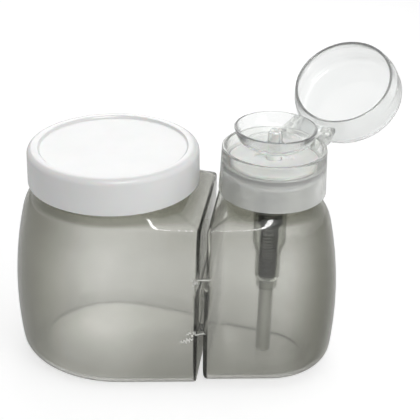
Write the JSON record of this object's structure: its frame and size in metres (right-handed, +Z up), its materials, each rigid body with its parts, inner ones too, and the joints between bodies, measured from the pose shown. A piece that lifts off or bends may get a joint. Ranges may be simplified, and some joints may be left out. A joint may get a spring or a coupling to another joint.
{
  "type": "twin toiletry container with pump",
  "caption": "Toiletry container: wide-mouth cotton jar with a screw lid, joined by a moulded web to a smaller bottle with a push-down dish pump and a hinged flip cap.",
  "frame": {"origin": "on the base plane, where the jar's axis meets it", "axes": "+X from the jar's axis to the bottle's axis, -Y towards the front of the container, +Z up"},
  "size_m": [0.1438, 0.1031, 0.1109],
  "materials": {
    "smoke_petg": "smoky translucent blown plastic, satin gloss",
    "white_pp": "white moulded plastic, glossy",
    "frosted_pp": "frosted natural plastic",
    "clear_pp": "clear moulded plastic, glossy",
    "foam_white": "closed-cell foam liner",
    "natural_pe": "natural extruded tube",
    "natural_ldpe": "soft natural plastic",
    "spring_steel": "drawn spring wire",
    "valve_glass": "polished glass ball"
  },
  "bodies": {
    "vessels": {"jar_body": "smoke_petg", "bottle_body": "smoke_petg"},
    "liner": {"lid_liner": "foam_white"},
    "lid": {"jar_lid": "white_pp"},
    "pump": {"pump_collar": "frosted_pp", "guide_plate": "white_pp", "pump_housing": "frosted_pp", "neck_gasket": "foam_white", "dip_tube": "natural_pe", "ball_cage": "white_pp", "return_spring": "spring_steel"},
    "inlet_valve": {"inlet_ball": "valve_glass"},
    "dish": {"pump_dish": "clear_pp", "pump_stem": "white_pp", "piston_seal": "natural_ldpe"},
    "outlet_valve": {"outlet_ball": "valve_glass"},
    "cap": {"flip_cap": "clear_pp"}
  },
  "joints": [
    {"name": "lid_lift", "type": "slide", "parent": "vessels", "child": "liner", "axis": [0, 0, 1], "range_m": [0, 0.009]},
    {"name": "lid_turn", "type": "hinge", "parent": "liner", "child": "lid", "pos_m": [0, 0, 0.0837], "axis": [0, 0, 1], "range_deg": [0, 810]},
    {"name": "pump_lift", "type": "slide", "parent": "vessels", "child": "pump", "axis": [0, 0, 1], "range_m": [0, 0.08]},
    {"name": "dish_press", "type": "slide", "parent": "pump", "child": "dish", "axis": [0, 0, -1], "range_m": [0, 0.0048], "stiffness_N_per_m": 800, "springref_m": -0.004, "deforming": ["return_spring"]},
    {"name": "inlet_ball_lift", "type": "slide", "parent": "pump", "child": "inlet_valve", "axis": [0, 0, 1], "range_m": [0, 0.001]},
    {"name": "outlet_ball_lift", "type": "slide", "parent": "dish", "child": "outlet_valve", "axis": [0, 0, 1], "range_m": [0, 0.001]},
    {"name": "cap_hinge", "type": "hinge", "parent": "pump", "child": "cap", "pos_m": [0.07029, 0.02381, 0.0859], "axis": [-0.8886, 0.4587, 0], "range_deg": [-142, 0]}
  ],
  "couplings": [
    {"joint": "lid_lift", "follows": "lid_turn", "m_per_rad": 0.0006366}
  ]
}
